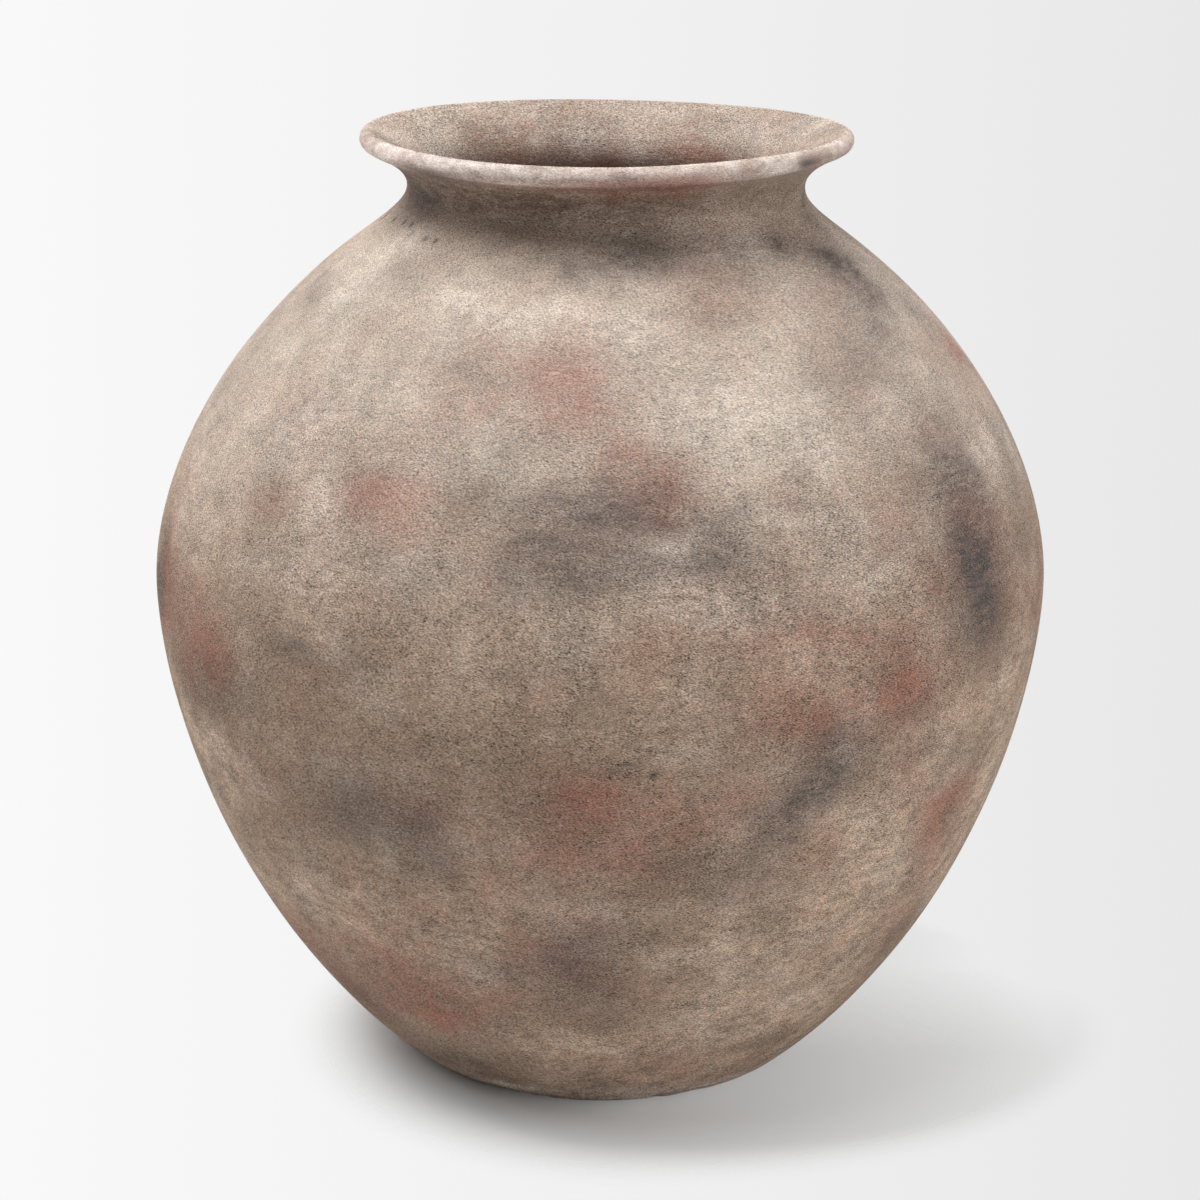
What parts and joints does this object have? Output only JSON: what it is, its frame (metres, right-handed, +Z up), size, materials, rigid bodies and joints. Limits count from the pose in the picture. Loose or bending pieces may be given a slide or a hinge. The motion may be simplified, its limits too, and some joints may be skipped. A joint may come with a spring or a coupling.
{
  "type": "vase",
  "caption": "Round-bellied terracotta vase with a short neck, a flaring full-round lip and a rubbed, smoke-clouded matte surface, on thin felt pads",
  "frame": {"origin": "on the floor, under the middle of the belly", "axes": "+Z up through the mouth; +X to the right and -Y towards the viewer in the picture"},
  "size_m": [0.414, 0.414, 0.4363],
  "materials": {
    "terracotta": "matte, sandy, clouded with smoke grey, iron red and chalk",
    "felt": "pressed felt"
  },
  "bodies": {
    "root": {"vase_body": "terracotta", "felt_pad_1": "felt", "felt_pad_2": "felt", "felt_pad_3": "felt", "felt_pad_4": "felt"}
  },
  "joints": []
}
